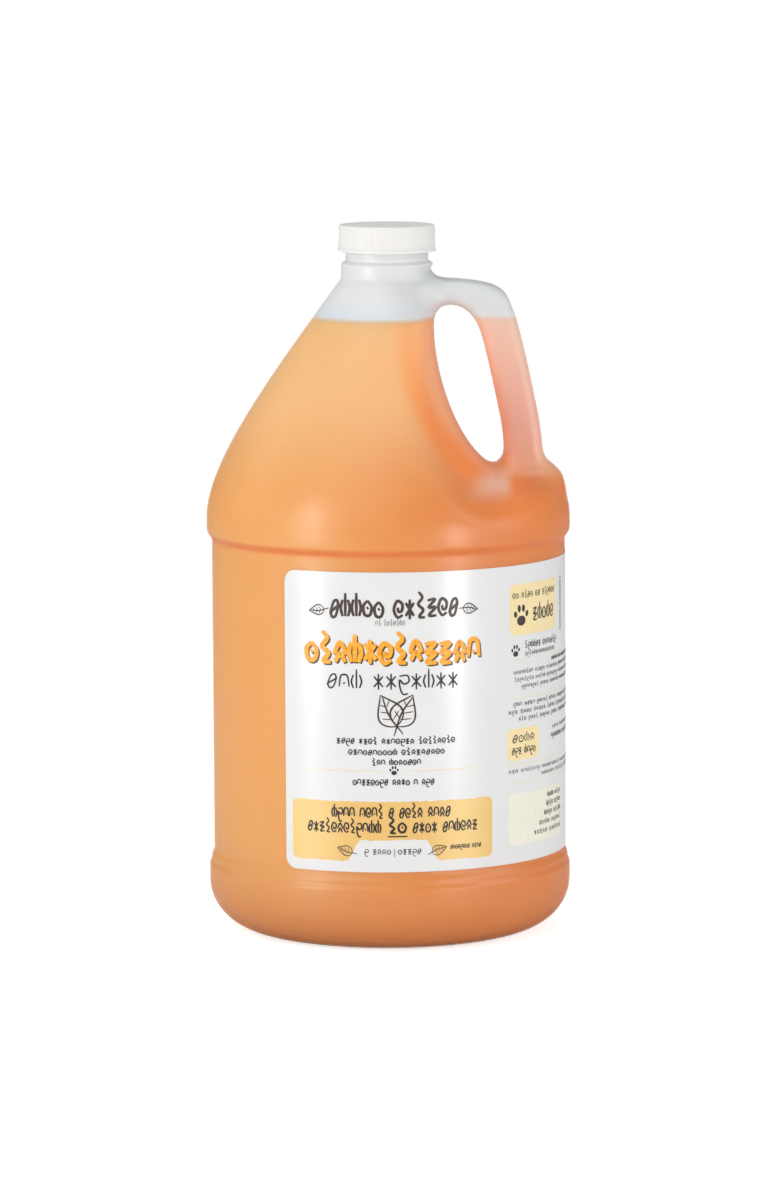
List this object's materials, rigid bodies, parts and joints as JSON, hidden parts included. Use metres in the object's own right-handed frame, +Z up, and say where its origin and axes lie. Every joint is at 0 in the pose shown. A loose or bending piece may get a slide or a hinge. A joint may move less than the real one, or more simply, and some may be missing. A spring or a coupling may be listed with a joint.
{
  "type": "shampoo bottle",
  "caption": "Round one-gallon pet shampoo jug with a moulded grip handle, a threaded neck, a wrap-round label and a screw cap.",
  "frame": {"origin": "centre of the foot, on the plane that the jug stands on", "axes": "+Z up along the jug's axis, +X from the axis to the handle, -Y to the label's front"},
  "size_m": [0.1538, 0.1538, 0.2987],
  "materials": {
    "natural_hdpe": "satin",
    "orange_shampoo": "gloss",
    "printed_film": "satin",
    "white_foam": "matte",
    "white_polypropylene": "satin"
  },
  "bodies": {
    "jug": {"jug_body": "natural_hdpe", "shampoo_fill": "orange_shampoo", "wrap_label": "printed_film"},
    "liner": {"cap_liner": "white_foam"},
    "cap": {"screw_cap": "white_polypropylene"}
  },
  "joints": [
    {"name": "cap_lift", "type": "slide", "parent": "jug", "child": "liner", "axis": [0, 0, 1], "range_m": [0, 0.01482]},
    {"name": "cap_turn", "type": "hinge", "parent": "liner", "child": "cap", "pos_m": [0, 0, 0.2931], "axis": [0, 0, 1], "range_deg": [0, 1260]}
  ],
  "couplings": [
    {"joint": "cap_lift", "follows": "cap_turn", "m_per_rad": 0.00067375}
  ]
}
